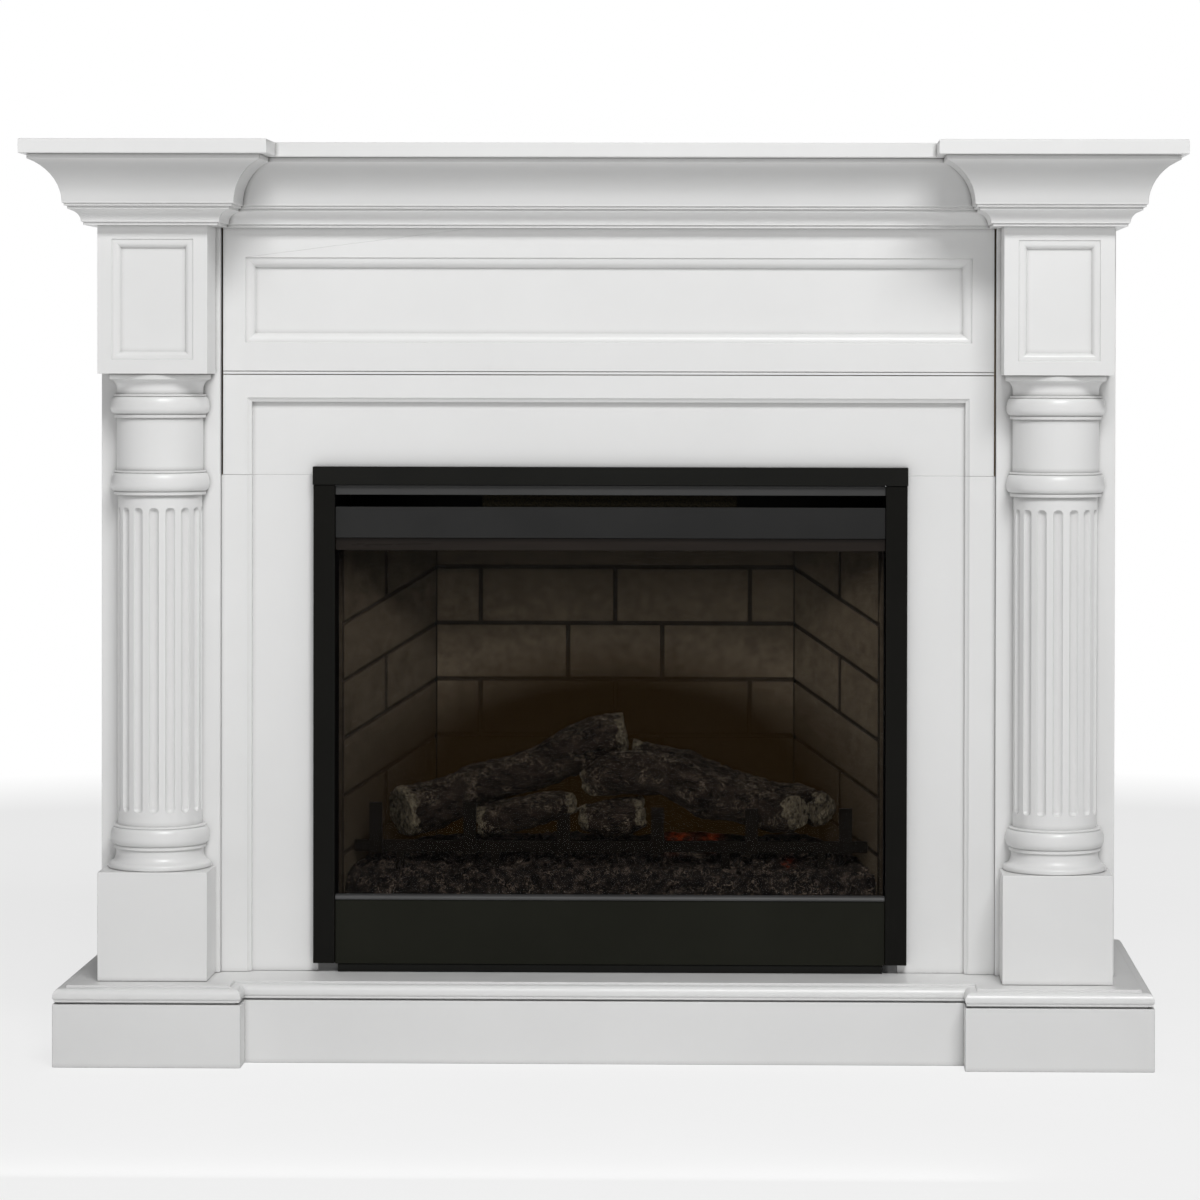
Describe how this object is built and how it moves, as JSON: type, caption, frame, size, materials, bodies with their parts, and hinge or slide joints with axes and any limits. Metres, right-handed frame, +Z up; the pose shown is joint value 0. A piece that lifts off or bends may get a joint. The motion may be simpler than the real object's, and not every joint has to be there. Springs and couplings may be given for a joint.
{
  "type": "fireplace mantelpiece",
  "caption": "White painted mantelpiece: stepped shelf, coved cornice, fluted half columns on plinths, panelled frieze, raised base and an electric firebox standing in the opening.",
  "frame": {"origin": "on the floor, under the middle of the object's bounding box", "axes": "+Z up, the front faces -Y, the back stands against a wall at +Y, +X to the right seen from the front"},
  "size_m": [1.4, 0.51, 1.12],
  "materials": {
    "white_paint": "white satin paint over smooth board",
    "bare_board": "bare fibreboard",
    "black_steel": "black satin powder coat",
    "outlet_mesh": "dark woven mesh",
    "dark_glass": "clear, slightly smoked, polished",
    "brick_liner": "moulded brick pattern, sooty brown",
    "grate_iron": "matt black",
    "charred_log": "moulded charred bark, matt",
    "embers": "moulded ash and embers, matt"
  },
  "bodies": {
    "root": {"shelf_slab": "white_paint", "cornice_left_return": "white_paint", "cornice_left_front": "white_paint", "cornice_left_inner": "white_paint", "cornice_centre": "white_paint", "cornice_right_inner": "white_paint", "cornice_right_front": "white_paint", "cornice_right_return": "white_paint", "frieze_block_left": "white_paint", "frieze_block_right": "white_paint", "column_left": "white_paint", "column_right": "white_paint", "plinth_block_left": "white_paint", "plinth_block_right": "white_paint", "pilaster_board_left": "white_paint", "pilaster_board_right": "white_paint", "side_panel_left": "white_paint", "side_panel_right": "white_paint", "upper_frieze_panel": "white_paint", "lower_frieze_panel": "white_paint", "leg_panel_left": "white_paint", "leg_panel_right": "white_paint", "base_cap": "white_paint", "base_side_left": "white_paint", "base_side_right": "white_paint", "base_front_left": "white_paint", "base_front_right": "white_paint", "base_inner_left": "white_paint", "base_inner_right": "white_paint", "base_front_centre": "white_paint", "top_back_rail": "bare_board", "base_back_rail": "bare_board", "joint_backing": "bare_board", "case_bottom": "black_steel", "case_top": "black_steel", "case_left": "black_steel", "case_right": "black_steel", "case_back": "black_steel", "case_foot_rail": "black_steel", "base_strip": "black_steel", "trim_top": "black_steel", "trim_left": "black_steel", "trim_right": "black_steel", "louvre_strip": "black_steel", "hood_panel": "black_steel", "glass_header": "black_steel", "lower_panel": "black_steel", "outlet_grille": "outlet_mesh", "glass_pane": "dark_glass", "brick_back": "brick_liner", "brick_side_left": "brick_liner", "brick_side_right": "brick_liner", "grate": "grate_iron", "log_left": "charred_log", "log_right": "charred_log", "log_rear": "charred_log", "log_short_left": "charred_log", "log_short_right": "charred_log", "ember_bed": "embers"}
  },
  "joints": []
}
